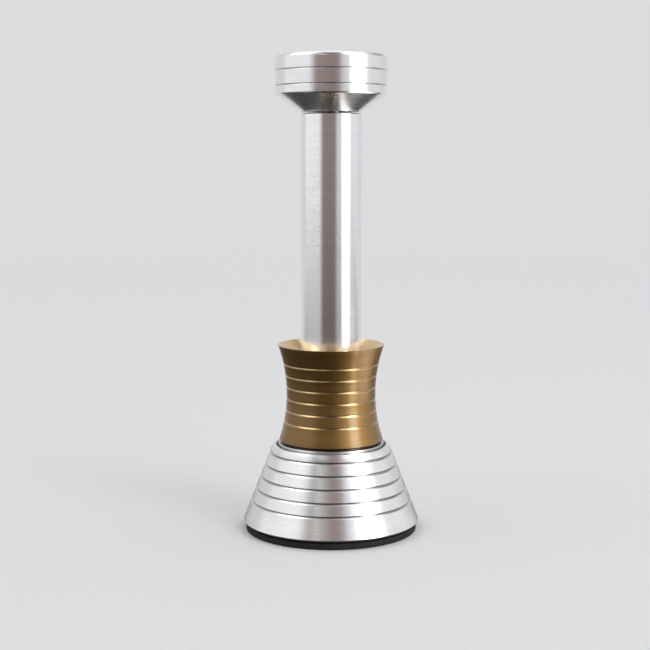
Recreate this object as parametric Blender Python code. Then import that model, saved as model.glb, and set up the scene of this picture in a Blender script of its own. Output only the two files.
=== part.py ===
"""Magnetic slow-fall desk toy: a waisted collar holding ring magnets sinks slowly down a thick
aluminium post, between a grooved cone base and a knob.

Metres, +Z up. The origin is the centre of the foot pad's underside, and every piece is turned
about the Z axis.
"""

import math

import bmesh
import bpy
from mathutils import Vector

# Driving dimensions, in metres.

# Facets and clearances
SIDES = 48  # of every turned surface, so that the faces of mating pieces stay parallel
SHARP_ANGLE = math.radians(30)  # edges that turn more than this are shaded sharp
WELD_DISTANCE = 1e-6
SEAT_GAP = 0.0003  # between faces that rest on each other
FIT_GAP = 0.0001  # round a piece that sits in a bore
SLIDE_CLEARANCE = 0.0002  # between the post and the collar's bore
SCREW_CLEARANCE = 0.00025  # round a screw in a plain hole
DRILL_RUNOUT = 0.0012  # a blind hole's depth beyond the screw in it

# Post
SHAFT_RADIUS = 0.006
SHAFT_LENGTH = 0.072
SHAFT_CHAMFER = 0.0002

# Foot
PAD_THICKNESS = 0.0012
PAD_INSET = 0.0005  # from the widest edge of the base

# Base
BASE_RADIUS = 0.0175
BASE_HEIGHT = 0.0156
BASE_FOOT_CHAMFER = 0.0004
BASE_LIP_WIDTH = 0.0006  # flat ring left round the recess
RECESS_DEPTH = 0.001
RECESS_CLEARANCE = 0.0005  # round the collar's end ring
SCREW_LAND = 0.0027  # metal between the screw head and the post
BASE_GROOVES = 5
BASE_GROOVE_PITCH = 0.0024
BASE_GROOVE_DROP = 0.0016  # from the lip to the first groove
BASE_GROOVE_WIDTH = 0.00035
BASE_GROOVE_DEPTH = 0.00035

# Screws
THREAD_RADIUS = 0.0025
HEAD_RADIUS = 0.00425
HEAD_HEIGHT = 0.005
HEAD_RECESS = 0.0004  # of the screw head above the underside of the base
COUNTERBORE_CLEARANCE = 0.0005
BASE_SCREW_LENGTH = 0.012
KNOB_STUD_LENGTH = 0.014
SCREW_CHAMFER = 0.0004
HEX_SOCKET_WIDTH = 0.004  # across flats, in the head
STUD_SOCKET_WIDTH = 0.0025
HEX_SOCKET_DEPTH = 0.0025

# Knob
KNOB_RADIUS = 0.0109
KNOB_BAND_HEIGHT = 0.0076  # of the upright band above the cone
KNOB_EDGE_RADIUS = 0.0008
KNOB_EDGE_STEPS = 4
KNOB_LOWER_CHAMFER = 0.00015
KNOB_GROOVES = 2
KNOB_GROOVE_PITCH = 0.0029
KNOB_GROOVE_DROP = 0.003  # from the top of the knob
KNOB_GROOVE_WIDTH = 0.00025
KNOB_GROOVE_DEPTH = 0.0002
CONE_ANGLE = math.radians(33.7)  # rise of the knob's underside, and of the funnel that it fits

# Magnets
MAGNET_BORE_CLEARANCE = 0.0005  # round the post
MAGNET_WALL = 0.0015
MAGNET_THICKNESS = 0.005
POLE_SPACER_THICKNESS = 0.0015

# Collar
SHELL_WALL = 0.00045  # behind the grooves, at the waist
COLLAR_FLARE = 0.0017  # of the rim beyond the waist
WAIST_DROP = 0.0004  # of the waist below the shell's mid-height
RIM_WALL = 0.00025
BORE_LAND_LENGTH = 0.002  # of the shell's bore on the post
COLLAR_GROOVES = 6
COLLAR_GROOVE_PITCH = 0.0023
COLLAR_GROOVE_WIDTH = 0.0003
COLLAR_GROOVE_DEPTH = 0.0003
STEPS_BETWEEN_COLLAR_GROOVES = 2  # that the waisted wall is turned in
END_RING_LEDGE = 0.0002  # of the end ring beyond the shell's lower edge
END_RING_FLANGE = 0.0011
END_RING_CHAMFER = 0.00015
SHADOW_GAP = 0.0005  # open band between the end ring's flange and the shell
SHOULDER_INSET = 0.0009  # of the seat that carries the shell, from the flange's edge
PLUG_HEIGHT = 0.0016  # of the end ring, inside the shell

# Sizes that follow

CONE_SLOPE = math.tan(CONE_ANGLE)
BORE_RADIUS = SHAFT_RADIUS + SLIDE_CLEARANCE
TAPPED_RADIUS = THREAD_RADIUS + FIT_GAP

MAGNET_BORE_RADIUS = SHAFT_RADIUS + MAGNET_BORE_CLEARANCE
MAGNET_RADIUS = MAGNET_BORE_RADIUS + MAGNET_WALL
MAGNET_STACK_HEIGHT = 2 * MAGNET_THICKNESS + POLE_SPACER_THICKNESS + 4 * SEAT_GAP  # a gap at every face

CAVITY_RADIUS = MAGNET_RADIUS + FIT_GAP
CAVITY_HEIGHT = PLUG_HEIGHT + MAGNET_STACK_HEIGHT
WAIST_RADIUS = CAVITY_RADIUS + SHELL_WALL + COLLAR_GROOVE_DEPTH
RIM_RADIUS = WAIST_RADIUS + COLLAR_FLARE
MOUTH_RADIUS = RIM_RADIUS - RIM_WALL
FUNNEL_DEPTH = (MOUTH_RADIUS - BORE_RADIUS) * CONE_SLOPE
SHELL_HEIGHT = CAVITY_HEIGHT + BORE_LAND_LENGTH + FUNNEL_DEPTH
WAIST_HEIGHT = SHELL_HEIGHT / 2 - WAIST_DROP
WAIST_SWEEP = (COLLAR_FLARE**2 + (SHELL_HEIGHT - WAIST_HEIGHT) ** 2) / (2 * COLLAR_FLARE)


def collar_radius(height):
    """The shell's outer radius at a height above its lower edge: an arc of radius WAIST_SWEEP,
    narrowest at the waist, that reaches the rim."""
    return WAIST_RADIUS + WAIST_SWEEP - math.sqrt(WAIST_SWEEP**2 - (height - WAIST_HEIGHT) ** 2)


END_RING_RADIUS = collar_radius(0.0) + END_RING_LEDGE
RECESS_RADIUS = END_RING_RADIUS + RECESS_CLEARANCE
BASE_TOP_RADIUS = RECESS_RADIUS + BASE_LIP_WIDTH
RECESS_FLOOR = BASE_HEIGHT - RECESS_DEPTH  # above the underside of the base, as the next two are
COUNTERBORE_DEPTH = HEAD_RECESS + HEAD_HEIGHT + SEAT_GAP
SOCKET_FLOOR = COUNTERBORE_DEPTH + SCREW_LAND
KNOB_CONE_HEIGHT = (KNOB_RADIUS - SHAFT_RADIUS) * CONE_SLOPE
KNOB_HEIGHT = KNOB_CONE_HEIGHT + KNOB_BAND_HEIGHT

# Where each piece starts, above the surface the toy stands on

BASE_Z = PAD_THICKNESS + SEAT_GAP
BASE_SCREW_Z = BASE_Z + HEAD_RECESS
SHAFT_Z = BASE_Z + SOCKET_FLOOR + SEAT_GAP
KNOB_Z = SHAFT_Z + SHAFT_LENGTH + SEAT_GAP
KNOB_STUD_Z = KNOB_Z - (SEAT_GAP + KNOB_STUD_LENGTH) / 2
END_RING_Z = BASE_Z + RECESS_FLOOR + SEAT_GAP
SHELL_Z = END_RING_Z + END_RING_FLANGE + SHADOW_GAP
LOWER_MAGNET_Z = SHELL_Z + PLUG_HEIGHT + SEAT_GAP
POLE_SPACER_Z = LOWER_MAGNET_Z + MAGNET_THICKNESS + SEAT_GAP
UPPER_MAGNET_Z = POLE_SPACER_Z + POLE_SPACER_THICKNESS + SEAT_GAP


def clear_scene():
    for leftover in list(bpy.data.objects):
        bpy.data.objects.remove(leftover, do_unlink=True)


def surface(name, colour, roughness, metallic=0.0):
    material = bpy.data.materials.new(name)
    material.use_nodes = True
    shader = material.node_tree.nodes["Principled BSDF"]
    shader.inputs["Base Color"].default_value = (*colour, 1.0)
    shader.inputs["Roughness"].default_value = roughness
    shader.inputs["Metallic"].default_value = metallic
    material.diffuse_color = (*colour, 1.0)
    return material


def metal(name, colour, roughness):
    return surface(name, colour, roughness, metallic=1.0)


def axis_empty(name, z, parent=None):
    """An empty on the Z axis at height z, carrying the pieces that move with it."""
    empty = bpy.data.objects.new(name, None)
    bpy.context.scene.collection.objects.link(empty)
    return placed(empty, z, parent)


def placed(thing, z, parent=None):
    """Puts an object on the Z axis at height z in the world, under its parent."""
    parent_z = parent.matrix_world.translation.z if parent else 0.0
    thing.parent = parent
    thing.location = (0.0, 0.0, z - parent_z)
    bpy.context.view_layer.update()
    return thing


def turned(name, outline, z, material, parent=None):
    """Turns an outline of (radius, height) points about Z. The outline is closed by itself, or
    starts and ends on the axis."""
    sheet = bmesh.new()
    corners = [sheet.verts.new((radius, 0.0, height)) for radius, height in outline]
    on_axis = outline[0][0] == 0.0 and outline[-1][0] == 0.0
    pairs = list(zip(corners, corners[1:]))
    if not on_axis:
        pairs.append((corners[-1], corners[0]))
    edges = [sheet.edges.new(pair) for pair in pairs]
    bmesh.ops.spin(
        sheet,
        geom=corners + edges,
        cent=(0.0, 0.0, 0.0),
        axis=(0.0, 0.0, 1.0),
        angle=math.tau,
        steps=SIDES,
        use_merge=False,
    )
    bmesh.ops.remove_doubles(sheet, verts=sheet.verts, dist=WELD_DISTANCE)
    bmesh.ops.recalc_face_normals(sheet, faces=sheet.faces)
    mesh = bpy.data.meshes.new(name)
    sheet.to_mesh(mesh)
    sheet.free()
    mesh.shade_smooth()
    mesh.set_sharp_from_angle(angle=SHARP_ANGLE)
    mesh.materials.append(material)
    piece = bpy.data.objects.new(name, mesh)
    bpy.context.scene.collection.objects.link(piece)
    return placed(piece, z, parent)


def ring_outline(inner, outer, height):
    return [(inner, 0.0), (outer, 0.0), (outer, height), (inner, height)]


def arc(centre, radius, start, end, steps):
    """Points of an arc in the (radius, height) plane, both ends included. Angles in radians."""
    points = []
    for step in range(steps + 1):
        angle = start + (end - start) * step / steps
        points.append((centre[0] + radius * math.cos(angle), centre[1] + radius * math.sin(angle)))
    return points


def groove_heights(lowest, pitch, count):
    return [lowest + pitch * index for index in range(count)]


def grooved_wall(radius_at, low, high, heights, width, depth, steps_between=1):
    """Points up an outer wall whose radius is radius_at(height), with square grooves at the given
    heights. Both ends are included."""
    points = []
    start = low
    for middle in [*heights, None]:
        end = high if middle is None else middle - width / 2
        for step in range(steps_between + 1):
            height = start + (end - start) * step / steps_between
            points.append((radius_at(height), height))
        if middle is not None:
            start = middle + width / 2
            points.append((radius_at(end) - depth, end))
            points.append((radius_at(start) - depth, start))
    return points


def hex_cutter(name, z, width, depth, parent):
    """A six-sided bar to cut a socket with, width across flats, rising from height z."""
    corner_radius = width / 2 / math.cos(math.pi / 6)
    bar = bmesh.new()
    bmesh.ops.create_cone(
        bar, cap_ends=True, segments=6, radius1=corner_radius, radius2=corner_radius, depth=depth
    )
    bmesh.ops.translate(bar, verts=bar.verts, vec=Vector((0.0, 0.0, depth / 2)))
    mesh = bpy.data.meshes.new(name)
    bar.to_mesh(mesh)
    bar.free()
    cutter = bpy.data.objects.new(name, mesh)
    bpy.context.scene.collection.objects.link(cutter)
    cutter.hide_render = True
    cutter.display_type = "WIRE"
    return placed(cutter, z, parent)


def cut_hex_socket(screw, width, parent):
    """Cuts a hexagon socket up into the lower end of a screw."""
    overrun = SEAT_GAP
    bottom = screw.matrix_world.translation.z - overrun
    cutter = hex_cutter(screw.name + "_socket_cutter", bottom, width, HEX_SOCKET_DEPTH + overrun, parent)
    socket = screw.modifiers.new("hex_socket", "BOOLEAN")
    socket.operation = "DIFFERENCE"
    socket.object = cutter


def make_foot_pad(stand):
    material = surface("black_rubber", (0.02, 0.02, 0.021), 0.75)
    radius = BASE_RADIUS - PAD_INSET
    outline = [(0.0, 0.0), (radius, 0.0), (radius, PAD_THICKNESS), (0.0, PAD_THICKNESS)]
    return turned("foot_pad", outline, 0.0, material, stand)


def make_base_cone(stand):
    material = metal("turned_aluminium_base", (0.80, 0.80, 0.81), 0.28)

    def cone_radius(height):
        along = (height - BASE_FOOT_CHAMFER) / (BASE_HEIGHT - BASE_FOOT_CHAMFER)
        return BASE_RADIUS + (BASE_TOP_RADIUS - BASE_RADIUS) * along

    lowest_groove = BASE_HEIGHT - BASE_GROOVE_DROP - BASE_GROOVE_PITCH * (BASE_GROOVES - 1)
    wall = grooved_wall(
        cone_radius,
        BASE_FOOT_CHAMFER,
        BASE_HEIGHT,
        groove_heights(lowest_groove, BASE_GROOVE_PITCH, BASE_GROOVES),
        BASE_GROOVE_WIDTH,
        BASE_GROOVE_DEPTH,
    )
    socket_radius = SHAFT_RADIUS + FIT_GAP
    hole_radius = THREAD_RADIUS + SCREW_CLEARANCE
    counterbore_radius = HEAD_RADIUS + COUNTERBORE_CLEARANCE
    outline = [
        (counterbore_radius, 0.0),
        (BASE_RADIUS - BASE_FOOT_CHAMFER, 0.0),
        *wall,
        (RECESS_RADIUS, BASE_HEIGHT),
        (RECESS_RADIUS, RECESS_FLOOR),
        (socket_radius, RECESS_FLOOR),
        (socket_radius, SOCKET_FLOOR),
        (hole_radius, SOCKET_FLOOR),
        (hole_radius, COUNTERBORE_DEPTH),
        (counterbore_radius, COUNTERBORE_DEPTH),
    ]
    return turned("base_cone", outline, BASE_Z, material, stand)


def make_base_screw(stand):
    material = metal("stainless_screw", (0.55, 0.55, 0.54), 0.35)
    tip = HEAD_HEIGHT + BASE_SCREW_LENGTH
    outline = [
        (0.0, 0.0),
        (HEAD_RADIUS - SCREW_CHAMFER, 0.0),
        (HEAD_RADIUS, SCREW_CHAMFER),
        (HEAD_RADIUS, HEAD_HEIGHT),
        (THREAD_RADIUS, HEAD_HEIGHT),
        (THREAD_RADIUS, tip - SCREW_CHAMFER),
        (THREAD_RADIUS - SCREW_CHAMFER, tip),
        (0.0, tip),
    ]
    screw = turned("base_screw", outline, BASE_SCREW_Z, material, stand)
    cut_hex_socket(screw, HEX_SOCKET_WIDTH, stand)
    return screw


def make_shaft(stand):
    material = metal("polished_aluminium", (0.84, 0.84, 0.85), 0.18)
    lower_hole = BASE_SCREW_Z + HEAD_HEIGHT + BASE_SCREW_LENGTH + DRILL_RUNOUT - SHAFT_Z
    upper_hole = KNOB_STUD_Z - DRILL_RUNOUT - SHAFT_Z
    outline = [
        (0.0, lower_hole),
        (TAPPED_RADIUS, lower_hole),
        (TAPPED_RADIUS, 0.0),
        (SHAFT_RADIUS - SHAFT_CHAMFER, 0.0),
        (SHAFT_RADIUS, SHAFT_CHAMFER),
        (SHAFT_RADIUS, SHAFT_LENGTH - SHAFT_CHAMFER),
        (SHAFT_RADIUS - SHAFT_CHAMFER, SHAFT_LENGTH),
        (TAPPED_RADIUS, SHAFT_LENGTH),
        (TAPPED_RADIUS, upper_hole),
        (0.0, upper_hole),
    ]
    return turned("shaft", outline, SHAFT_Z, material, stand)


def make_knob_stud(stand):
    material = metal("stainless_stud", (0.50, 0.50, 0.49), 0.40)
    outline = [
        (0.0, 0.0),
        (THREAD_RADIUS - SCREW_CHAMFER, 0.0),
        (THREAD_RADIUS, SCREW_CHAMFER),
        (THREAD_RADIUS, KNOB_STUD_LENGTH - SCREW_CHAMFER),
        (THREAD_RADIUS - SCREW_CHAMFER, KNOB_STUD_LENGTH),
        (0.0, KNOB_STUD_LENGTH),
    ]
    stud = turned("knob_stud", outline, KNOB_STUD_Z, material, stand)
    cut_hex_socket(stud, STUD_SOCKET_WIDTH, stand)
    return stud


def make_knob(stand):
    material = metal("turned_aluminium_knob", (0.80, 0.80, 0.81), 0.25)
    lowest_groove = KNOB_HEIGHT - KNOB_GROOVE_DROP - KNOB_GROOVE_PITCH * (KNOB_GROOVES - 1)
    wall = grooved_wall(
        lambda height: KNOB_RADIUS,
        KNOB_CONE_HEIGHT + KNOB_LOWER_CHAMFER,
        KNOB_HEIGHT - KNOB_EDGE_RADIUS,
        groove_heights(lowest_groove, KNOB_GROOVE_PITCH, KNOB_GROOVES),
        KNOB_GROOVE_WIDTH,
        KNOB_GROOVE_DEPTH,
    )
    edge_centre = (KNOB_RADIUS - KNOB_EDGE_RADIUS, KNOB_HEIGHT - KNOB_EDGE_RADIUS)
    hole_top = KNOB_STUD_Z + KNOB_STUD_LENGTH + DRILL_RUNOUT - KNOB_Z
    outline = [
        (0.0, hole_top),
        (TAPPED_RADIUS, hole_top),
        (TAPPED_RADIUS, 0.0),
        (SHAFT_RADIUS, 0.0),
        (KNOB_RADIUS - KNOB_LOWER_CHAMFER, KNOB_CONE_HEIGHT - KNOB_LOWER_CHAMFER * CONE_SLOPE),
        *wall,
        *arc(edge_centre, KNOB_EDGE_RADIUS, 0.0, math.pi / 2, KNOB_EDGE_STEPS)[1:],
        (0.0, KNOB_HEIGHT),
    ]
    return turned("knob", outline, KNOB_Z, material, stand)


def make_collar_shell(collar):
    material = metal("gold_anodised_aluminium", (0.53, 0.36, 0.15), 0.30)
    lowest_groove = SHELL_HEIGHT / 2 - COLLAR_GROOVE_PITCH * (COLLAR_GROOVES - 1) / 2
    wall = grooved_wall(
        collar_radius,
        0.0,
        SHELL_HEIGHT,
        groove_heights(lowest_groove, COLLAR_GROOVE_PITCH, COLLAR_GROOVES),
        COLLAR_GROOVE_WIDTH,
        COLLAR_GROOVE_DEPTH,
        STEPS_BETWEEN_COLLAR_GROOVES,
    )
    outline = [
        (CAVITY_RADIUS, 0.0),
        *wall,
        (MOUTH_RADIUS, SHELL_HEIGHT),
        (BORE_RADIUS, SHELL_HEIGHT - FUNNEL_DEPTH),
        (BORE_RADIUS, CAVITY_HEIGHT),
        (CAVITY_RADIUS, CAVITY_HEIGHT),
    ]
    return turned("collar_shell", outline, SHELL_Z, material, collar)


def make_collar_end_ring(collar):
    material = metal("bare_aluminium_ring", (0.80, 0.80, 0.80), 0.30)
    shoulder = END_RING_FLANGE + SHADOW_GAP - SEAT_GAP
    plug_top = END_RING_FLANGE + SHADOW_GAP + PLUG_HEIGHT
    outline = [
        (BORE_RADIUS, 0.0),
        (END_RING_RADIUS - END_RING_CHAMFER, 0.0),
        (END_RING_RADIUS, END_RING_CHAMFER),
        (END_RING_RADIUS, END_RING_FLANGE - END_RING_CHAMFER),
        (END_RING_RADIUS - END_RING_CHAMFER, END_RING_FLANGE),
        (END_RING_RADIUS - SHOULDER_INSET, END_RING_FLANGE),
        (END_RING_RADIUS - SHOULDER_INSET, shoulder),
        (MAGNET_RADIUS, shoulder),
        (MAGNET_RADIUS, plug_top),
        (BORE_RADIUS, plug_top),
    ]
    return turned("collar_end_ring", outline, END_RING_Z, material, collar)


def make_magnet(name, z, carriage):
    material = metal(name + "_nickel_plate", (0.62, 0.60, 0.56), 0.22)
    outline = ring_outline(MAGNET_BORE_RADIUS, MAGNET_RADIUS, MAGNET_THICKNESS)
    return turned(name, outline, z, material, carriage)


def make_pole_spacer(carriage):
    material = metal("mild_steel", (0.42, 0.42, 0.43), 0.40)
    outline = ring_outline(MAGNET_BORE_RADIUS, MAGNET_RADIUS, POLE_SPACER_THICKNESS)
    return turned("pole_spacer", outline, POLE_SPACER_Z, material, carriage)


def make_toy():
    clear_scene()
    stand = axis_empty("stand", 0.0)
    make_foot_pad(stand)
    make_base_cone(stand)
    make_base_screw(stand)
    make_shaft(stand)
    make_knob_stud(stand)
    make_knob(stand)
    carriage = axis_empty("collar_slide", END_RING_Z, stand)
    make_magnet("lower_magnet", LOWER_MAGNET_Z, carriage)
    make_pole_spacer(carriage)
    make_magnet("upper_magnet", UPPER_MAGNET_Z, carriage)
    collar = axis_empty("collar_spin", END_RING_Z, carriage)
    make_collar_end_ring(collar)
    make_collar_shell(collar)


make_toy()
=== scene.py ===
"""Looks of the magnetic slow-fall desk toy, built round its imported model.

Metres, +Z up. Every piece is turned about Z, so each is drawn as an outline of (radius, height)
corners, and one tree of Geometry Nodes cuts its grooves, eases its edges and turns it.
"""

import math
from collections import namedtuple

import bpy
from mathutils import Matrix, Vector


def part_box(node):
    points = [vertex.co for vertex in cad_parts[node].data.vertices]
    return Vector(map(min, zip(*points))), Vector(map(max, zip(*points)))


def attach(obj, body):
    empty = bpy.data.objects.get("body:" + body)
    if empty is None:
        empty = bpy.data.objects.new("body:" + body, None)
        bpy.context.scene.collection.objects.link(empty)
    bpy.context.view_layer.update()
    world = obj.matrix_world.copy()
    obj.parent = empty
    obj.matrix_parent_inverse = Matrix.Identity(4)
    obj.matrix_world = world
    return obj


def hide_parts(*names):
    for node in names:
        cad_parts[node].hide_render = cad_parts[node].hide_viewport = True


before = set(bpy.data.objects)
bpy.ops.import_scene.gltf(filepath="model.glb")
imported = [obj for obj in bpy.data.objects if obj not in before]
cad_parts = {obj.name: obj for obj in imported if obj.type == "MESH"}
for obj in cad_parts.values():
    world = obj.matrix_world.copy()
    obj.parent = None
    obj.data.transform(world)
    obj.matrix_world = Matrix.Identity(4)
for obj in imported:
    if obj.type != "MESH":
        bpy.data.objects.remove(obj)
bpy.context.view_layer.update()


def low(node):
    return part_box(node)[0].z


def high(node):
    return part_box(node)[1].z


def radius(node):
    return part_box(node)[1].x


# Sizes, in metres

SIDES = 256  # of every turned surface
EDGE_STEPS = 3  # in an eased edge
FINE_EDGE_STEPS = 5  # in an eased edge of the knob and the collar
FINE_EDGE = 0.00005  # radius of an edge that is only broken
HAND_EDGE = 0.0001  # radius of an edge that a hand can feel
WELD = 1e-6
TURNING_RADIUS = 0.01  # of the circle that an outline is turned along; no piece depends on it

FIT_GAP = 0.0001  # round a piece that sits in a bore
SEAT_GAP = 0.0003  # between faces that rest on each other
BORE_RADIUS = radius("shaft") + 0.0002  # the collar's running clearance on the post
THREAD_RADIUS = 0.0025
TAPPED_RADIUS = THREAD_RADIUS + FIT_GAP
DRILL_RUNOUT = 0.0012  # a blind hole's depth beyond the screw in it
CONE_SLOPE = math.tan(math.radians(33.7))  # of the knob's cone and the collar's funnel

# lean is how far a groove's floor sits above its middle, and shade its share of the piece's painted
# groove tone: painted shade in a dark groove, paler gold with painted highlight in the collar's
Groove = namedtuple("Groove", "count pitch mouth floor depth lean shade")
CORNERS_OF_GROOVE = 4
ORDER_STEP = 0.0001  # keeps the corners of a steep groove in order up the wall
UPPER_EDGE_LOSS = 0.6  # share of its easing that a groove's upper mouth goes without

# Its floor is painted dark by its shade: painted shade in the groove.
BASE_GROOVE = Groove(5, 0.0024, mouth=0.00052, floor=0.00014, depth=0.00026, lean=0.00014, shade=0.75)
BASE_GROOVE_DROP = 0.0016  # from the lip to the first groove
BASE_LIP_WIDTH = 0.0006
FOOT_CHAMFER = 0.0004
RECESS_CLEARANCE = 0.0005  # round the collar's end ring
RECESS_DEPTH = 0.001
# The recess's outer floor corner is painted dark over this width: painted shade round the end ring.
RECESS_SHADE_WIDTH = 0.0008
RECESS_SHADE = 0.8
SCREW_LAND = 0.0027
SCREW_CLEARANCE = 0.00025
COUNTERBORE_CLEARANCE = 0.0005

SHAFT_CHAMFER = 0.0002

# Its floor is painted dark by its shade: painted shade in the groove.
KNOB_GROOVE = Groove(2, 0.0029, mouth=0.00028, floor=0.00008, depth=0.00014, lean=0.00006, shade=0.4)
KNOB_GROOVE_DROP = 0.003  # from the top to the first groove
KNOB_EDGE_RADIUS = 0.0008
KNOB_LOWER_CHAMFER = 0.00015

# The groove floors take a share of a paler gold: partly polished cut metal, partly painted highlight.
COLLAR_GROOVE = Groove(6, 0.0023, mouth=0.00036, floor=0.00008, depth=0.00016, lean=0.00009, shade=0.22)
COLLAR_MOUTH_POLISH_AND_HIGHLIGHT = 0.24  # share of the groove's pale gold at its lower mouth: partly polished cut metal, partly painted highlight where the edge faces up into the light
COLLAR_ROWS = 8  # of faces between two grooves, along the waisted wall
COLLAR_FLARE = 0.0017
WAIST_DROP = 0.0004  # of the waist below the collar's middle
RIM_WALL = 0.00025
BORE_LAND_LENGTH = 0.002
# Shares of the paler gold in the funnel: partly polished cut metal, partly painted highlight.
FUNNEL_RIM_POLISH_AND_HIGHLIGHT = 1.0
FUNNEL_FOOT_POLISH_AND_HIGHLIGHT = 0.6

END_RING_FLANGE = 0.0011
END_RING_CHAMFER = 0.00015
# The flange's upper edge a little, and its shoulder fully, are painted dark: painted shade in the shadow
# gap under the gold shell.
END_RING_LIP_SHADE = 0.3
SHADOW_GAP = 0.0005
SHOULDER_INSET = 0.0009

MAGNET_BORE_CLEARANCE = 0.0005
MAGNET_EDGE = 0.0003


# Shapes


def named_inputs(tree, sizes):
    """Adds an input for each (name, kind, default) of a tree, in order."""
    for name, kind, default in sizes:
        socket = tree.interface.new_socket(name, in_out="INPUT", socket_type=kind)
        if default is not None:
            socket.default_value = default


class Bench:
    """Puts nodes in a tree and wires them."""

    def __init__(self, tree):
        self.tree = tree

    def node(self, kind, settings=None, **inputs):
        node = self.tree.nodes.new(kind)
        for name, value in (settings or {}).items():
            setattr(node, name, value)
        for name, value in inputs.items():
            self.feed(node, name.replace("_", " "), value)
        return node

    def feed(self, node, name, value):
        socket = node.inputs[int(name)] if name.isdigit() else node.inputs[name]
        if isinstance(value, bpy.types.NodeSocket):
            self.tree.links.new(value, socket)
        else:
            socket.default_value = value

    def math(self, operation, *values):
        node = self.tree.nodes.new("ShaderNodeMath")
        node.operation = operation
        for index, value in enumerate(values):
            self.feed(node, str(index), value)
        return node.outputs[0]

    def add(self, one, two):
        return self.math("ADD", one, two)

    def sub(self, one, two):
        return self.math("SUBTRACT", one, two)

    def mul(self, one, two):
        return self.math("MULTIPLY", one, two)

    def div(self, one, two):
        return self.math("DIVIDE", one, two)


TURNING_SIZES = [
    ("Outline", "NodeSocketGeometry", None),
    ("Closed", "NodeSocketBool", True),
    ("Sides", "NodeSocketInt", SIDES),
    ("Edge steps", "NodeSocketInt", EDGE_STEPS),
    ("Grooves", "NodeSocketInt", 0),
    ("Lowest groove", "NodeSocketFloat", 0.0),
    ("Groove pitch", "NodeSocketFloat", 0.002),
    ("Groove mouth", "NodeSocketFloat", 0.0003),
    ("Groove floor", "NodeSocketFloat", 0.0003),
    ("Groove depth", "NodeSocketFloat", 0.0003),
    ("Groove lean", "NodeSocketFloat", 0.0),
    ("Groove shade", "NodeSocketFloat", 1.0),
    ("Mouth shade", "NodeSocketFloat", 0.0),
    ("Groove edge", "NodeSocketFloat", FINE_EDGE),
    ("Rows between", "NodeSocketInt", 0),
    ("Wall place", "NodeSocketFloat", 0.0),
    ("Wall low", "NodeSocketFloat", 0.0),
    ("Wall high", "NodeSocketFloat", 1.0),
    ("Wall radius", "NodeSocketFloat", 0.01),
    ("Wall slope", "NodeSocketFloat", 0.0),
    ("Waist height", "NodeSocketFloat", 0.0),
    ("Waist curvature", "NodeSocketFloat", 0.0),
    ("Finish", "NodeSocketMaterial", None),
]


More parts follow.
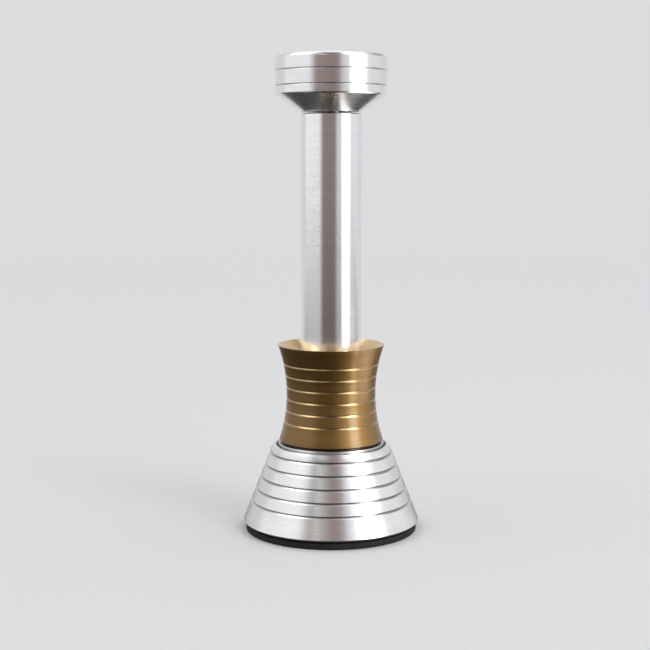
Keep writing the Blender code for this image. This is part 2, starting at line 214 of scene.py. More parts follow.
def turning_tree():
    """The tree that turns a piece: the outline's corners, the grooves' corners and the rows of a
    waisted wall are put in order up the wall, joined into one line, eased at each corner, and
    turned about Z."""
    tree = bpy.data.node_groups.new("turned_piece", "GeometryNodeTree")
    tree.is_modifier = True
    named_inputs(tree, TURNING_SIZES)
    tree.interface.new_socket("Piece", in_out="OUTPUT", socket_type="NodeSocketGeometry")
    b = Bench(tree)
    given = tree.nodes.new("NodeGroupInput").outputs

    def keep(geometry, name, value):
        store = b.node(
            "GeometryNodeStoreNamedAttribute",
            {"data_type": "FLOAT", "domain": "POINT"},
            Geometry=geometry,
            Name=name,
            Value=value,
        )
        return store.outputs[0]

    def kept(name):
        return b.node("GeometryNodeInputNamedAttribute", {"data_type": "FLOAT"}, Name=name).outputs[0]

    def position():
        here = tree.nodes.new("GeometryNodeInputPosition").outputs[0]
        return b.node("ShaderNodeSeparateXYZ", Vector=here).outputs

    def wall_radius(height):
        away = b.sub(height, given["Waist height"])
        bend = b.mul(given["Waist curvature"], away)
        rise = b.math("SQRT", b.math("MAXIMUM", b.sub(1.0, b.mul(bend, bend)), 0.0))
        flare = b.div(b.mul(bend, away), b.add(1.0, rise))
        taper = b.mul(given["Wall slope"], b.sub(height, given["Wall low"]))
        return b.add(b.add(given["Wall radius"], taper), flare)

    def wall_order(height):
        share = b.div(
            b.sub(height, given["Wall low"]), b.sub(given["Wall high"], given["Wall low"])
        )
        return b.add(given["Wall place"], share)

    def wall_points(count, height, inset, nudge, edge, groove):
        """count points on the wall, whose other values are fields of their index."""
        line = b.node("GeometryNodeMeshLine", Count=count)
        place = b.node("ShaderNodeCombineXYZ", X=b.sub(wall_radius(height), inset), Z=height)
        moved = b.node("GeometryNodeSetPosition", Geometry=line.outputs[0], Position=place.outputs[0])
        ordered = keep(moved.outputs[0], "place", b.add(wall_order(height), nudge))
        return keep(keep(ordered, "rounding", edge), "groove", groove)

    def groove_middle(groove):
        return b.add(given["Lowest groove"], b.mul(given["Groove pitch"], groove))

    index = tree.nodes.new("GeometryNodeInputIndex").outputs[0]

    # Four corners of each groove, from below: mouth, floor, floor, mouth
    groove = b.math("FLOOR", b.div(index, float(CORNERS_OF_GROOVE)))
    corner = b.sub(index, b.mul(groove, float(CORNERS_OF_GROOVE)))
    upper = b.math("GREATER_THAN", corner, 1.5)
    side = b.sub(b.mul(upper, 2.0), 1.0)
    deep = b.math("LESS_THAN", b.math("ABSOLUTE", b.sub(corner, 1.5)), 1.0)
    narrowing = b.mul(deep, b.sub(given["Groove floor"], given["Groove mouth"]))
    span = b.add(given["Groove mouth"], narrowing)
    lean = b.mul(deep, given["Groove lean"])
    height = b.add(b.add(groove_middle(groove), lean), b.mul(side, b.div(span, 2.0)))
    # A groove's floor, and on the collar its lower mouth, take a share of the painted groove tone:
    # painted shade in a dark groove, painted highlight on the collar's lower mouth, which faces up into
    # the light.
    mouth_shade = b.mul(b.sub(1.0, upper), given["Mouth shade"])
    grooves = wall_points(
        b.mul(given["Grooves"], float(CORNERS_OF_GROOVE)),
        height,
        b.mul(deep, given["Groove depth"]),
        b.mul(b.mul(deep, side), -ORDER_STEP),
        b.mul(given["Groove edge"], b.sub(1.0, b.mul(upper, UPPER_EDGE_LOSS))),
        b.math("MAXIMUM", b.mul(deep, given["Groove shade"]), mouth_shade),
    )

    # Rows of the wall between the grooves
    rows = given["Rows between"]
    band = b.math("FLOOR", b.div(index, b.math("MAXIMUM", rows, 1.0)))
    step = b.sub(index, b.mul(band, rows))
    below = b.sub(groove_middle(band), given["Groove pitch"])
    open_low = b.add(below, b.div(given["Groove mouth"], 2.0))
    open_span = b.sub(given["Groove pitch"], given["Groove mouth"])
    row_height = b.add(open_low, b.mul(open_span, b.div(b.add(step, 1.0), b.add(rows, 1.0))))
    row_count = b.mul(rows, b.add(given["Grooves"], 1.0))
    between = wall_points(row_count, row_height, 0.0, 0.0, 0.0, 0.0)
    tall = position()["Z"]
    outside = b.add(
        b.math("LESS_THAN", tall, b.add(given["Wall low"], FINE_EDGE)),
        b.math("GREATER_THAN", tall, b.sub(given["Wall high"], FINE_EDGE)),
    )
    trimmed = b.node(
        "GeometryNodeDeleteGeometry", {"domain": "POINT"}, Geometry=between, Selection=outside
    )

    corners = tree.nodes.new("GeometryNodeJoinGeometry")
    for source in (trimmed.outputs[0], grooves, given["Outline"]):
        tree.links.new(source, corners.inputs[0])
    points = b.node("GeometryNodeMeshToPoints", Mesh=corners.outputs[0])
    line = b.node("GeometryNodePointsToCurves", Points=points.outputs[0], Weight=kept("place"))
    closed = b.node("GeometryNodeSetSplineCyclic", Geometry=line.outputs[0], Cyclic=given["Closed"])
    eased = b.node(
        "GeometryNodeFilletCurve",
        {"mode": "POLY"},
        Curve=closed.outputs[0],
        Radius=kept("rounding"),
        Limit_Radius=True,
        Count=given["Edge steps"],
    )

    # The line is laid in the plane of the turning circle's own section
    here = position()
    flat = b.node(
        "ShaderNodeCombineXYZ", X=b.sub(here["X"], TURNING_RADIUS), Y=b.mul(here["Z"], -1.0)
    )
    laid = b.node("GeometryNodeSetPosition", Geometry=eased.outputs[0], Position=flat.outputs[0])
    circle = b.node("GeometryNodeCurvePrimitiveCircle", Resolution=given["Sides"], Radius=TURNING_RADIUS)
    upright = b.node("GeometryNodeSetCurveNormal", {"mode": "Z_UP"}, Curve=circle.outputs[0])
    turned = b.node("GeometryNodeCurveToMesh", Curve=upright.outputs[0], Profile_Curve=laid.outputs[0])
    outward = b.node("GeometryNodeFlipFaces", Mesh=turned.outputs[0])
    welded = b.node("GeometryNodeMergeByDistance", Geometry=outward.outputs[0], Distance=WELD)
    smooth = b.node("GeometryNodeSetShadeSmooth", Geometry=welded.outputs[0], Shade_Smooth=True)
    whole = b.node("GeometryNodeRealizeInstances", Geometry=smooth.outputs[0])
    finished = b.node("GeometryNodeSetMaterial", Geometry=whole.outputs[0], Material=given["Finish"])
    out = tree.nodes.new("NodeGroupOutput")
    tree.links.new(finished.outputs[0], out.inputs[0])
    return tree


TURNING = turning_tree()


def turned_piece(name, corners, finish, **sizes):
    """Makes a piece from (radius, height, rounding) corners, which may end in a share of the painted
    groove tone: painted shade at a dark corner, painted highlight at the collar's pale one. An
    outline that starts on the axis is left open, and its two ends close on themselves as poles."""
    mesh = bpy.data.meshes.new(name + "_outline")
    mesh.from_pydata([(corner[0], 0.0, corner[1]) for corner in corners], [], [])
    for attribute, values in (
        ("place", [float(index) for index in range(len(corners))]),
        ("rounding", [corner[2] for corner in corners]),
        ("groove", [corner[3] if len(corner) > 3 else 0.0 for corner in corners]),
    ):
        mesh.attributes.new(attribute, "FLOAT", "POINT").data.foreach_set("value", values)
    outline = bpy.data.objects.new(name + "_outline", mesh)
    bpy.context.scene.collection.objects.link(outline)

    lathe = outline.modifiers.new("turned", "NODES")
    lathe.node_group = TURNING
    chosen = {"Closed": corners[0][0] > 0.0, "Finish": finish, **sizes}
    for item in TURNING.interface.items_tree:
        if item.in_out == "INPUT" and item.name in chosen:
            lathe[item.identifier] = chosen.pop(item.name)
    if chosen:
        raise ValueError(f"{name}: the turning has no size named {sorted(chosen)}")
    weighted = outline.modifiers.new("even_shading", "WEIGHTED_NORMAL")
    weighted.weight = 100
    weighted.keep_sharp = True

    bpy.context.view_layer.update()
    seen = outline.evaluated_get(bpy.context.evaluated_depsgraph_get())
    whole = bpy.data.meshes.new_from_object(seen)
    whole.name = name
    piece = bpy.data.objects.new(name, whole)
    bpy.context.scene.collection.objects.link(piece)
    bpy.data.objects.remove(outline, do_unlink=True)
    return piece


def grooved_wall(start_corner, start, end, lowest, groove, **more):
    """The sizes of a wall between two (radius, height) corners, the first of which is
    start_corner in the outline, with even V grooves from the lowest up."""
    sizes = {
        "Wall place": float(start_corner),
        "Wall low": start[1],
        "Wall high": end[1],
        "Wall radius": start[0],
        "Wall slope": (end[0] - start[0]) / (end[1] - start[1]),
        "Grooves": groove.count,
        "Lowest groove": lowest,
        "Groove pitch": groove.pitch,
        "Groove mouth": groove.mouth,
        "Groove floor": groove.floor,
        "Groove depth": groove.depth,
        "Groove lean": groove.lean,
        "Groove shade": groove.shade,
    }
    sizes.update({name.replace("_", " "): value for name, value in more.items()})
    return sizes


# Finishes

WHITE = (1.0, 1.0, 1.0)
MOST = (0.3, 0.7)  # the span that most of a noise lies in

# Marks of turning: fine feed lines, broader bands and soft smears. Scales are in 1/m, and a drift
# is how far a mark wanders up the piece on its way round.
FEED_SCALE, FEED_DRIFT = 5200.0, 0.00002
BAND_SCALE, BAND_DRIFT = 700.0, 0.0001
SMEAR_SCALE = 130.0
FEED_SHARE, BAND_SHARE = 0.6, 0.4  # in the tone
FEED_HEIGHT = 0.5  # beside the bands
RING_SPAN, SMEAR_SPAN = (0.35, 0.65), (0.3, 0.75)  # of the marks, from none to full
SMEAR_SHARE, SMEAR_TONE, SMEAR_ROUGHNESS = 0.10, 0.72, 0.05
FINER, COARSER = 0.03, 0.04  # the roughness to each side of the finish's own
FULL_POLISH = 0.14
QUARTER_TURN = 0.25  # stretches the shine across the rings, as turning does

# Nicks: specks and hairlines in a few patches
PATCH_SCALE, PATCH_EDGE = 85.0, (0.53, 0.60)
SPECK_SCALE, SPECK_EDGE = 1300.0, (0.12, 0.24)
HAIRS_ROUND, HAIR_SLANT, HAIR_SCALE, HAIR_EDGE = 26.0, 1500.0, 330.0, (0.03, 0.07)
NICK_SHARE, NICK_TONE, NICK_DEPTH = 0.45, 0.5, 4.0

COAT_ROUGHNESS, COAT_IOR = 0.15, 1.5
RUBBER_GRAIN_SCALE, RUBBER_GRAIN_DEPTH, RUBBER_GRAIN_STRENGTH = 3500.0, 0.00006, 0.6
DUST_SCALE, DUST_SPAN, DUST_SHARE = 240.0, (0.5, 0.8), 0.35
PLATING_CLOUD_SCALE, PLATING_SPECK_SCALE = 420.0, 5200.0
PLATING_SPECK_SHARE, PLATING_DEPTH = 0.3, 0.00001


def scaled(colour, share):
    return tuple(part * share for part in colour)


class Finish(Bench):
    """A material being mixed, with the coordinates that turned marks follow."""

    def __init__(self, name):
        self.material = bpy.data.materials.new(name)
        self.material.use_nodes = True
        super().__init__(self.material.node_tree)
        self.shader = self.tree.nodes["Principled BSDF"]
        self.where = self.node("ShaderNodeTexCoord").outputs["Object"]
        parts = self.node("ShaderNodeSeparateXYZ", Vector=self.where)
        flat = self.node("ShaderNodeCombineXYZ", X=parts.outputs["X"], Y=parts.outputs["Y"])
        length = self.node("ShaderNodeVectorMath", {"operation": "LENGTH"})
        self.tree.links.new(flat.outputs[0], length.inputs[0])
        self.radius = length.outputs["Value"]
        self.height = parts.outputs["Z"]
        self.angle = self.math("ARCTAN2", parts.outputs["Y"], parts.outputs["X"])

    def around(self, across=0.0):
        """Coordinates along the outline, the same all the way round but for a slow drift."""
        drift = self.mul(self.math("SINE", self.angle), across)
        turn = self.mul(self.math("COSINE", self.angle), across)
        place = self.node("ShaderNodeCombineXYZ", X=self.radius, Y=self.add(self.height, drift), Z=turn)
        return place.outputs[0]

    def noise(self, vector, scale, detail=2.0, roughness=0.5):
        return self.node(
            "ShaderNodeTexNoise", Vector=vector, Scale=scale, Detail=detail, Roughness=roughness
        ).outputs[0]

    def cells(self, vector, scale):
        """How far each point is from the middle of its own cell."""
        return self.node(
            "ShaderNodeTexVoronoi", Vector=vector, Scale=scale, Randomness=1.0
        ).outputs["Distance"]

    def nicks(self):
        """Small specks, and short hairlines across the turning, in a few patches."""
        patch = self.between(self.noise(self.where, PATCH_SCALE, detail=1.0), *PATCH_EDGE, 0.0, 1.0)
        speck = self.between(self.cells(self.where, SPECK_SCALE), *SPECK_EDGE, 1.0, 0.0)
        slant = self.node(
            "ShaderNodeCombineXYZ",
            X=self.add(self.mul(self.angle, HAIRS_ROUND), self.mul(self.height, HAIR_SLANT)),
            Y=self.mul(self.height, HAIR_SCALE),
        )
        hair = self.between(self.cells(slant.outputs[0], 1.0), *HAIR_EDGE, 1.0, 0.0)
        return self.mul(patch, self.math("MAXIMUM", speck, hair))

    def between(self, value, start, end, to_start, to_end, ease="LINEAR"):
        spread = self.node(
            "ShaderNodeMapRange", {"clamp": True, "interpolation_type": ease}, Value=value
        )
        for name, number in (
            ("From Min", start), ("From Max", end), ("To Min", to_start), ("To Max", to_end)
        ):
            self.feed(spread, name, number)
        return spread.outputs[0]

    def blend(self, share, one, two):
        mix = self.node("ShaderNodeMix", {"data_type": "RGBA"})
        self.feed(mix, "0", share)
        for socket, colour in ((mix.inputs[6], one), (mix.inputs[7], two)):
            if isinstance(colour, bpy.types.NodeSocket):
                self.tree.links.new(colour, socket)
            else:
                socket.default_value = (*colour, 1.0)
        return mix.outputs[2]

    def ridge(self, height, distance, strength=1.0):
        bump = self.node("ShaderNodeBump", Height=height, Distance=distance, Strength=strength)
        self.tree.links.new(bump.outputs[0], self.shader.inputs["Normal"])

    def set(self, **values):
        for name, value in values.items():
            self.feed(self.shader, name.replace("_", " "), value)
        return self.material


def turned_metal(name, colour, shade, roughness, anisotropy, marks, painted_groove_tone=None,
                 groove_polish=0.0, coat=0.0, edge_tint=WHITE, nicked=False):
    """Bright metal with the rings that the lathe tool leaves. shade is the colour of the duller
    rings, marks how deep they are, and groove_polish how much smoother the grooves are."""
    finish = Finish(name)
    feed = finish.noise(finish.around(FEED_DRIFT), FEED_SCALE, detail=3.0, roughness=0.65)
    bands = finish.noise(finish.around(BAND_DRIFT), BAND_SCALE)
    smears = finish.noise(finish.where, SMEAR_SCALE, detail=4.0, roughness=0.6)
    rings = finish.add(finish.mul(feed, FEED_SHARE), finish.mul(bands, BAND_SHARE))
    tone = finish.blend(finish.between(rings, *RING_SPAN, 0.0, 1.0), colour, shade)
    patchy = finish.between(smears, *SMEAR_SPAN, 0.0, 1.0)
    tone = finish.blend(finish.mul(patchy, SMEAR_SHARE), tone, scaled(shade, SMEAR_TONE))
    fine = finish.between(feed, *MOST, roughness - FINER, roughness + COARSER)
    rough = finish.add(fine, finish.mul(patchy, SMEAR_ROUGHNESS))
    height = finish.add(finish.mul(feed, FEED_HEIGHT), bands)
    # The "groove" attribute mixes in painted_groove_tone: painted shade in grooves, recesses and gaps,
    # and on the collar a paler gold that is partly polished cut metal and partly painted highlight.
    if painted_groove_tone:
        groove = finish.node("ShaderNodeAttribute", {"attribute_name": "groove"}).outputs["Fac"]
        tone = finish.blend(groove, tone, painted_groove_tone)
        if groove_polish:
            rough = finish.sub(rough, finish.mul(groove, groove_polish))
            rough = finish.math("MAXIMUM", rough, FULL_POLISH)
    if nicked:
        nicks = finish.nicks()
        tone = finish.blend(finish.mul(nicks, NICK_SHARE), tone, scaled(shade, NICK_TONE))
        height = finish.sub(height, finish.mul(nicks, NICK_DEPTH))
    finish.ridge(height, marks)
    tangent = finish.node("ShaderNodeTangent", {"direction_type": "RADIAL", "axis": "Z"}).outputs[0]
    return finish.set(
        Base_Color=tone,
        Metallic=1.0,
        Specular_Tint=(*edge_tint, 1.0),
        Roughness=rough,
        Anisotropic=anisotropy,
        Anisotropic_Rotation=QUARTER_TURN,
        Tangent=tangent,
        Coat_Weight=coat,
        Coat_Roughness=COAT_ROUGHNESS,
        Coat_IOR=COAT_IOR,
    )


def foot_rubber():
    finish = Finish("foot_rubber")
    grain = finish.noise(finish.where, RUBBER_GRAIN_SCALE, detail=4.0, roughness=0.6)
    clumps = finish.noise(finish.where, DUST_SCALE, detail=3.0)
    dust = finish.between(clumps, *DUST_SPAN, 0.0, DUST_SHARE)
    tone = finish.blend(dust, (0.012, 0.012, 0.013), (0.05, 0.048, 0.045))
    finish.ridge(grain, RUBBER_GRAIN_DEPTH, RUBBER_GRAIN_STRENGTH)
    return finish.set(Base_Color=tone, Roughness=finish.between(grain, *MOST, 0.62, 0.85))


def nickel(name, colour, shade):
    finish = Finish(name)
    cloud = finish.noise(finish.where, PLATING_CLOUD_SCALE, detail=3.0)
    speck = finish.noise(finish.where, PLATING_SPECK_SCALE)
    height = finish.add(cloud, finish.mul(speck, PLATING_SPECK_SHARE))
    finish.ridge(height, PLATING_DEPTH)
    return finish.set(
        Base_Color=finish.blend(finish.between(cloud, *MOST, 0.0, 1.0), colour, shade),
        Metallic=1.0,
        Roughness=finish.between(speck, *MOST, 0.16, 0.3),
    )


# The base's and knob's dark painted_groove_tone is painted shade in their groove floors.
ALUMINIUM_BASE = turned_metal(
    "turned_base_aluminium", (0.90, 0.90, 0.91), (0.82, 0.82, 0.84),
    roughness=0.25, anisotropy=0.72, marks=4e-6, painted_groove_tone=(0.07, 0.065, 0.06),
)
ALUMINIUM_KNOB = turned_metal(
    "turned_knob_aluminium", (0.91, 0.91, 0.92), (0.84, 0.84, 0.85),
    roughness=0.22, anisotropy=0.72, marks=3e-6, painted_groove_tone=(0.07, 0.065, 0.06),
)
# The post's dark painted_groove_tone is painted shade at its top chamfer.
ALUMINIUM_POST = turned_metal(
    "polished_post_aluminium", (0.92, 0.92, 0.93), (0.87, 0.87, 0.89),
    roughness=0.17, anisotropy=0.70, marks=1.2e-6, painted_groove_tone=(0.06, 0.055, 0.05), nicked=True,
)
# Its painted_groove_tone is a paler gold for the grooves and the funnel: partly polished cut metal,
# partly painted highlight.
GOLD_COLLAR = turned_metal(
    "gold_anodised_collar", (0.285, 0.166, 0.045), (0.215, 0.123, 0.033),
    roughness=0.46, anisotropy=0.0, marks=4e-6, painted_groove_tone=(0.86, 0.64, 0.37),
    groove_polish=1.2, coat=0.75, edge_tint=(0.85, 0.74, 0.60),
)
# The ring's dark painted_groove_tone is painted shade in that gap.
BARE_RING = turned_metal(
    "bare_ring_aluminium", (0.88, 0.88, 0.89), (0.78, 0.78, 0.79),
    roughness=0.26, anisotropy=0.6, marks=3e-6, painted_groove_tone=(0.085, 0.070, 0.056),
)
RUBBER = foot_rubber()
NICKEL = nickel("nickel_plate", (0.66, 0.64, 0.60), (0.58, 0.56, 0.52))
MILD_STEEL = turned_metal(
    "ground_mild_steel", (0.45, 0.45, 0.46), (0.34, 0.34, 0.35),
    roughness=0.38, anisotropy=0.4, marks=5e-6,
)
STAINLESS = turned_metal(
    "stainless_screw_steel", (0.58, 0.57, 0.55), (0.46, 0.46, 0.45),
    roughness=0.34, anisotropy=0.3, marks=4e-6,
)


# Pieces


def seat(piece, body, slot, *nodes):
    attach(piece, body)
    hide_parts(*nodes)
    return piece


def make_foot_pad():
    wide, foot, top = radius("foot_pad"), low("foot_pad"), high("foot_pad")
    corners = [(0.0, foot, 0.0), (wide, foot, HAND_EDGE), (wide, top, HAND_EDGE), (0.0, top, 0.0)]
    seat(turned_piece("foot_rubber_pad", corners, RUBBER), "stand", "foot_pad", "foot_pad")


def make_base():
    wide, foot, lip = radius("base_cone"), low("base_cone"), high("base_cone")
    recess = radius("collar_end_ring") + RECESS_CLEARANCE
    floor = lip - RECESS_DEPTH
    bore = radius("shaft") + FIT_GAP
    land_top = low("shaft") - SEAT_GAP
    land_foot = land_top - SCREW_LAND
    counterbore = radius("base_screw") + COUNTERBORE_CLEARANCE
    hole = THREAD_RADIUS + SCREW_CLEARANCE
    wall_start = (wide, foot + FOOT_CHAMFER)
    wall_end = (recess + BASE_LIP_WIDTH, lip)
    corners = [
        (counterbore, foot, HAND_EDGE),
        (wide - FOOT_CHAMFER, foot, FINE_EDGE),
        (*wall_start, HAND_EDGE),
        (*wall_end, HAND_EDGE),
        (recess, lip, HAND_EDGE),
        # Painted shade in the recess's outer corner, fading out over RECESS_SHADE_WIDTH.
        (recess, floor, HAND_EDGE, RECESS_SHADE),
        (recess - RECESS_SHADE_WIDTH, floor, 0.0, 0.0),
        (bore, floor, HAND_EDGE),
        (bore, land_top, FINE_EDGE),
        (hole, land_top, FINE_EDGE),
        (hole, land_foot, FINE_EDGE),
        (counterbore, land_foot, FINE_EDGE),
    ]
    lowest = lip - BASE_GROOVE_DROP - BASE_GROOVE.pitch * (BASE_GROOVE.count - 1)
    wall = grooved_wall(2, wall_start, wall_end, lowest, BASE_GROOVE)
    seat(turned_piece("base_grooved_cone", corners, ALUMINIUM_BASE, **wall), "stand", "base", "base_cone")


def make_shaft():
    wide, foot, top = radius("shaft"), low("shaft"), high("shaft")
    lower_hole = high("base_screw") + DRILL_RUNOUT
    upper_hole = low("knob_stud") - DRILL_RUNOUT
    corners = [
        (0.0, lower_hole, 0.0),
        (TAPPED_RADIUS, lower_hole, FINE_EDGE),
        (TAPPED_RADIUS, foot, FINE_EDGE),
        (wide - SHAFT_CHAMFER, foot, FINE_EDGE),
        (wide, foot + SHAFT_CHAMFER, FINE_EDGE),
        (wide, top - SHAFT_CHAMFER, FINE_EDGE),
        # The top chamfer is painted dark: painted shade in the joint under the knob.
        (wide - SHAFT_CHAMFER, top, FINE_EDGE, 1.0),
        (TAPPED_RADIUS, top, FINE_EDGE, 1.0),
        (TAPPED_RADIUS, upper_hole, FINE_EDGE),
        (0.0, upper_hole, 0.0),
    ]
    seat(turned_piece("polished_post", corners, ALUMINIUM_POST), "stand", "shaft", "shaft")


def make_knob():
    wide, foot, top = radius("knob"), low("knob"), high("knob")
    shoulder = foot + (wide - radius("shaft")) * CONE_SLOPE
    hole_top = high("knob_stud") + DRILL_RUNOUT
    wall_start = (wide, shoulder + KNOB_LOWER_CHAMFER)
    wall_end = (wide, top)
    corners = [
        (0.0, hole_top, 0.0),
        (TAPPED_RADIUS, hole_top, FINE_EDGE),
        (TAPPED_RADIUS, foot, FINE_EDGE),
        (radius("shaft"), foot, FINE_EDGE),
        (wide - KNOB_LOWER_CHAMFER, shoulder - KNOB_LOWER_CHAMFER * CONE_SLOPE, FINE_EDGE),
        (*wall_start, FINE_EDGE),
        (*wall_end, KNOB_EDGE_RADIUS),
        (0.0, top, 0.0),
    ]
    lowest = top - KNOB_GROOVE_DROP - KNOB_GROOVE.pitch * (KNOB_GROOVE.count - 1)
    wall = grooved_wall(5, wall_start, wall_end, lowest, KNOB_GROOVE, Edge_steps=FINE_EDGE_STEPS)
    seat(turned_piece("grooved_knob", corners, ALUMINIUM_KNOB, **wall), "stand", "knob", "knob")


def make_collar_shell():
    rim, foot, top = radius("collar_shell"), low("collar_shell"), high("collar_shell")
    waist = rim - COLLAR_FLARE
    cavity = radius("lower_magnet") + FIT_GAP
    mouth = rim - RIM_WALL
    funnel_foot = top - (mouth - BORE_RADIUS) * CONE_SLOPE
    cavity_top = funnel_foot - BORE_LAND_LENGTH
    middle = (foot + top) / 2
    waist_height = middle - WAIST_DROP
    sweep = (COLLAR_FLARE**2 + (top - waist_height) ** 2) / (2 * COLLAR_FLARE)
    foot_radius = waist + sweep - math.sqrt(sweep**2 - (foot - waist_height) ** 2)
    corners = [
        (cavity, foot, FINE_EDGE),
        (foot_radius, foot, FINE_EDGE),
        (rim, top, FINE_EDGE),
        (mouth, top, FINE_EDGE, FUNNEL_RIM_POLISH_AND_HIGHLIGHT),
        (BORE_RADIUS, funnel_foot, HAND_EDGE, FUNNEL_FOOT_POLISH_AND_HIGHLIGHT),
        (BORE_RADIUS, cavity_top, FINE_EDGE),
        (cavity, cavity_top, FINE_EDGE),
    ]
    lowest = middle - COLLAR_GROOVE.pitch * (COLLAR_GROOVE.count - 1) / 2
    wall = grooved_wall(
        1, (waist, foot), (waist, top), lowest, COLLAR_GROOVE,
        Groove_edge=HAND_EDGE, Mouth_shade=COLLAR_MOUTH_POLISH_AND_HIGHLIGHT, Rows_between=COLLAR_ROWS,
        Edge_steps=FINE_EDGE_STEPS, Waist_height=waist_height, Waist_curvature=1.0 / sweep,
    )
    shell = turned_piece("gold_waisted_collar", corners, GOLD_COLLAR, **wall)
    seat(shell, "collar", "collar_shell", "collar_shell")


def make_end_ring():
    wide, foot, top = radius("collar_end_ring"), low("collar_end_ring"), high("collar_end_ring")
    plug = radius("lower_magnet")
    flange = foot + END_RING_FLANGE
    shoulder = flange + SHADOW_GAP - SEAT_GAP
    corners = [
        (BORE_RADIUS, foot, FINE_EDGE),
        (wide, foot, END_RING_CHAMFER),
        # Painted shade: the flange's upper edge a little and the shoulder fully, darkening the gap under
        # the gold shell.
        (wide, flange, END_RING_CHAMFER, END_RING_LIP_SHADE),
        (wide - SHOULDER_INSET, flange, FINE_EDGE, 1.0),
        (wide - SHOULDER_INSET, shoulder, FINE_EDGE, 1.0),
        (plug, shoulder, FINE_EDGE, 1.0),
        (plug, top, FINE_EDGE),
        (BORE_RADIUS, top, FINE_EDGE),
    ]
    seat(turned_piece("bare_end_ring", corners, BARE_RING), "collar", "end_ring", "collar_end_ring")


def make_stack():
    inner = radius("shaft") + MAGNET_BORE_CLEARANCE
    for node, name, finish, slot in (
        ("lower_magnet", "lower_ring_magnet", NICKEL, "magnet"),
        ("pole_spacer", "steel_pole_spacer", MILD_STEEL, "pole_spacer"),
        ("upper_magnet", "upper_ring_magnet", NICKEL, "magnet"),
    ):
        outer, foot, top = radius(node), low(node), high(node)
        section = ((inner, foot), (outer, foot), (outer, top), (inner, top))
        corners = [(*corner, MAGNET_EDGE) for corner in section]
        seat(turned_piece(name, corners, finish), "magnet_stack", slot, node)


make_foot_pad()
make_base()
make_shaft()
make_knob()
make_collar_shell()
make_end_ring()
make_stack()
for screw in ("base_screw", "knob_stud"):
    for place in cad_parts[screw].material_slots:
        place.material = STAINLESS


# Studio

BACKDROP = (0.72, 0.72, 0.735)
FLOOR_RADIUS, FLOOR_SIDES = 8.0, 64
FLOOR_CLOUD_SCALE = 3.0
FLOOR_FADE = (2.4, 0.3)  # nearness, in 1/m, at which the floor starts and ends fading
FLOOR_FADE_OFFSET = 0.27
BLACK_CARD_BORDERS = (-0.6, 0.6, -0.9, 0.135)  # left, right, front, back
BLACK_CARD_HEIGHT = 0.00005
CEILING_BORDERS = (-0.7, 0.6, 0.0, 0.9)
CEILING_HEIGHT = 1.0
CEILING_COLOUR, CEILING_STRENGTH, CEILING_SOFT = (1.0, 0.98, 0.95), 1.4, 0.2
CARD_STEPS = 18  # of faces across and up a card

# Bearings are in degrees to the right of the camera. The soft shares of a card fade out. One that
# is a lamp is seen only in the metal's reflections, and doesn't light the floor.
Card = namedtuple(
    "Card",
    "name bearings heights distance colour strength soft_sides soft_ends is_lamp",
    defaults=(1.0, 0.0, 0.0, False),
)
LOW, HIGH = (0.0, 0.33), (0.33, 1.1)
CARDS = (
    Card("window_low", (37, 77), (0.0, 0.36), 0.6, WHITE, 6.5, 0.32, is_lamp=True),
    Card("window_high", (18, 80), (0.36, 1.5), 0.6, WHITE, 3.6, 0.5),
    Card("front_low_card", (-44, 27), LOW, 0.7, (0.285, 0.220, 0.203), soft_sides=0.18),
    Card("front_high_left_card", (-46, -3), HIGH, 0.7, (0.54, 0.555, 0.52), soft_sides=0.25),
    Card("front_high_stripe", (-30, -12), HIGH, 0.68, (0.98, 1.0, 0.94), 1.3, 0.5),
    Card("front_high_right_card", (-11, 26), HIGH, 0.69, (0.31, 0.25, 0.225), soft_sides=0.2),
    Card("right_lamp", (52, 92), (0.50, 1.05), 0.6, (1.0, 0.98, 0.94), 24.0, 0.4, 0.4, True),
    Card("right_dark_card", (100, 160), (0.24, 0.62), 0.5, (0.36, 0.31, 0.27), 1.0, 0.2, 0.15, True),
    Card("front_top_card", (-44, 40), (0.34, 1.4), 0.3, (0.16, 0.13, 0.11), 1.0, 0.2, is_lamp=True),
    Card("left_lamp", (-122, -46), (0.42, 1.5), 0.6, (1.0, 0.97, 0.92), 3.8, 0.25, 0.2, True),
    Card("left_pale_card", (-115, -36), (0.0, 1.6), 0.8, (0.95, 0.95, 0.96), soft_sides=0.1),
    Card("right_pale_card", (70, 120), (0.0, 1.0), 0.8, (0.84, 0.82, 0.84), soft_sides=0.1),
)

# The window on the black floor card: a broad sheen to the right, and its own narrower image
Shine = namedtuple("Shine", "name bearings reach height colour strength soft_sides soft_ends")
SHINES = (
    Shine("floor_sheen", (45, 130), (0.02, 0.19), 0.0004, (1.0, 0.96, 0.92), 2.2, 0.4, 0.12),
    Shine("floor_glint", (42, 70), (0.03, 0.18), 0.0006, (1.0, 0.97, 0.93), 6.0, 0.5, 0.3),
)

CAMERA_LENS, CAMERA_SENSOR = 75.05, 36.0  # in mm
CAMERA_PLACE = (-0.0012, -0.266, 0.0735)
CAMERA_PITCH = 7.0  # degrees down


def glow(name, colour, strength):
    """A card's light, which fades out where its own share of light does."""
    material = bpy.data.materials.new(name)
    material.use_nodes = True
    material.node_tree.nodes.clear()
    bench = Bench(material.node_tree)
    lit = bench.node("ShaderNodeEmission", Color=(*colour, 1.0), Strength=strength)
    clear = bench.node("ShaderNodeBsdfTransparent")
    share = bench.node("ShaderNodeAttribute", {"attribute_name": "light"}).outputs["Fac"]
    mix = bench.node("ShaderNodeMixShader")
    out = bench.node("ShaderNodeOutputMaterial")
    for source, target in (
        (share, mix.inputs[0]),
        (clear.outputs[0], mix.inputs[1]),
        (lit.outputs[0], mix.inputs[2]),
        (mix.outputs[0], out.inputs["Surface"]),
    ):
        material.node_tree.links.new(source, target)
    return material


def part_way(span, share):
    return span[0] + (span[1] - span[0]) * share


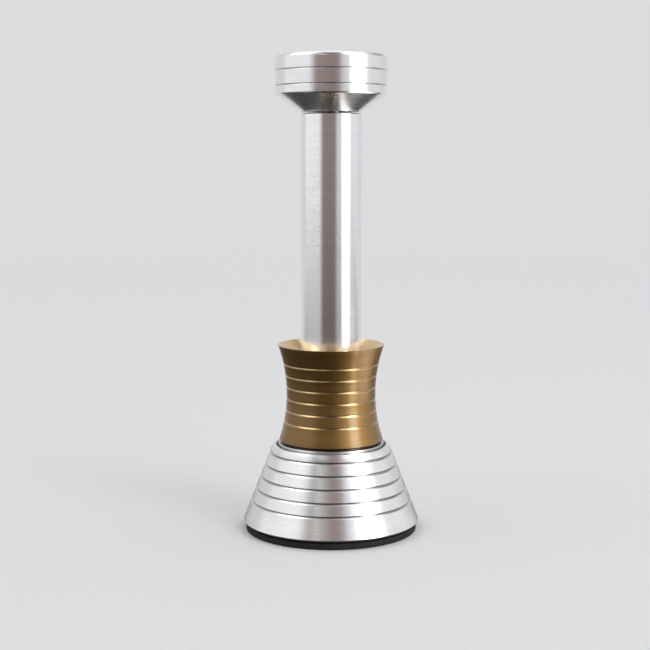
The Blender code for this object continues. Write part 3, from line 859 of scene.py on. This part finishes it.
def at_bearing(bearing, distance, height):
    angle = math.radians(bearing)
    return (distance * math.sin(angle), -distance * math.cos(angle), height)


def stage_sheet(name, corners, faces, material):
    mesh = bpy.data.meshes.new(name)
    mesh.from_pydata(corners, [], faces)
    mesh.materials.append(material)
    sheet = bpy.data.objects.new(name, mesh)
    bpy.context.scene.collection.objects.link(sheet)
    return sheet


def soft_card(name, place, colour, strength, soft_sides, soft_ends):
    """A card that the camera doesn't see. place gives the point at each share of the way across
    and up it, and its light fades out within the soft share of each border."""
    shares = [step / CARD_STEPS for step in range(CARD_STEPS + 1)]
    row = CARD_STEPS + 1
    faces = [
        (row * i + j, row * i + row + j, row * i + row + j + 1, row * i + j + 1)
        for i in range(CARD_STEPS)
        for j in range(CARD_STEPS)
    ]

    def border(share, soft):
        return min(1.0, min(share, 1.0 - share) / soft) ** 2 if soft else 1.0

    points = [place(across, up) for across in shares for up in shares]
    light = [border(across, soft_sides) * border(up, soft_ends) for across in shares for up in shares]
    card = stage_sheet(name, points, faces, glow(name, colour, strength))
    card.data.attributes.new("light", "FLOAT", "POINT").data.foreach_set("value", light)
    card.visible_camera = False
    return card


def make_lamp(card):
    """Leaves a card to the metal's reflections, so that it doesn't light the floor."""
    card.visible_diffuse = card.visible_shadow = False


def make_ceiling():
    """A pale ceiling behind the toy that only the metal's reflections see."""
    left, right, front, back = CEILING_BORDERS

    def place(across, up):
        return (part_way((left, right), across), part_way((front, back), up), CEILING_HEIGHT)

    make_lamp(
        soft_card(
            "overhead_card", place, CEILING_COLOUR, CEILING_STRENGTH, CEILING_SOFT, CEILING_SOFT
        )
    )


def make_shine(shine):
    def place(across, up):
        bearing, out = part_way(shine.bearings, across), part_way(shine.reach, up)
        return at_bearing(bearing, out, shine.height)

    make_lamp(
        soft_card(shine.name, place, shine.colour, shine.strength, shine.soft_sides, shine.soft_ends)
    )


def make_curved_card(card):
    def place(across, up):
        bearing, height = part_way(card.bearings, across), part_way(card.heights, up)
        return at_bearing(bearing, card.distance, height)

    made = soft_card(card.name, place, card.colour, card.strength, card.soft_sides, card.soft_ends)
    if card.is_lamp:
        make_lamp(made)


def make_floor_card():
    """A black lacquered card on the floor that only the metal's reflections see."""
    finish = Finish("black_lacquer_card")
    finish.set(Base_Color=(0.02, 0.02, 0.021, 1.0), Roughness=0.12)
    left, right, front, back = BLACK_CARD_BORDERS
    borders = ((left, front), (right, front), (right, back), (left, back))
    corners = [(*corner, BLACK_CARD_HEIGHT) for corner in borders]
    card = stage_sheet("floor_black_card", corners, [(0, 1, 2, 3)], finish.material)
    card.visible_camera = False
    make_lamp(card)


def pale_floor():
    finish = Finish("pale_floor")
    cloud = finish.noise(finish.where, FLOOR_CLOUD_SCALE)
    finish.set(
        Base_Color=finish.blend(cloud, (0.87, 0.87, 0.88), (0.90, 0.90, 0.91)),
        Roughness=0.8,
        Specular_IOR_Level=0.0,
    )
    # Far from the toy the floor fades into the backdrop
    backdrop = finish.node("ShaderNodeEmission", Color=(*BACKDROP, 1.0), Strength=1.0)
    fade = finish.node("ShaderNodeMixShader")
    nearness = finish.div(1.0, finish.add(finish.radius, FLOOR_FADE_OFFSET))
    finish.feed(fade, "0", finish.between(nearness, *FLOOR_FADE, 0.0, 1.0, "SMOOTHSTEP"))
    finish.tree.links.new(finish.shader.outputs[0], fade.inputs[1])
    finish.tree.links.new(backdrop.outputs[0], fade.inputs[2])
    finish.tree.links.new(fade.outputs[0], finish.tree.nodes["Material Output"].inputs["Surface"])
    return finish.material


def make_studio():
    world = bpy.data.worlds.new("pale_studio")
    world.use_nodes = True
    world.node_tree.nodes["Background"].inputs["Color"].default_value = (*BACKDROP, 1.0)
    bpy.context.scene.world = world
    border = [at_bearing(360.0 * side / FLOOR_SIDES, FLOOR_RADIUS, 0.0) for side in range(FLOOR_SIDES)]
    stage_sheet("pale_floor", border, [tuple(range(FLOOR_SIDES))], pale_floor())
    make_floor_card()
    make_ceiling()
    for shine in SHINES:
        make_shine(shine)
    for card in CARDS:
        make_curved_card(card)


def make_camera():
    data = bpy.data.cameras.new("camera")
    data.lens = CAMERA_LENS
    data.sensor_width = CAMERA_SENSOR
    data.clip_start = 0.01
    data.clip_end = 50.0
    camera = bpy.data.objects.new("camera", data)
    bpy.context.scene.collection.objects.link(camera)
    camera.location = CAMERA_PLACE
    camera.rotation_euler = (math.radians(90.0 - CAMERA_PITCH), 0.0, 0.0)
    bpy.context.scene.camera = camera


make_studio()
make_camera()
bpy.context.scene.view_settings.view_transform = "Standard"
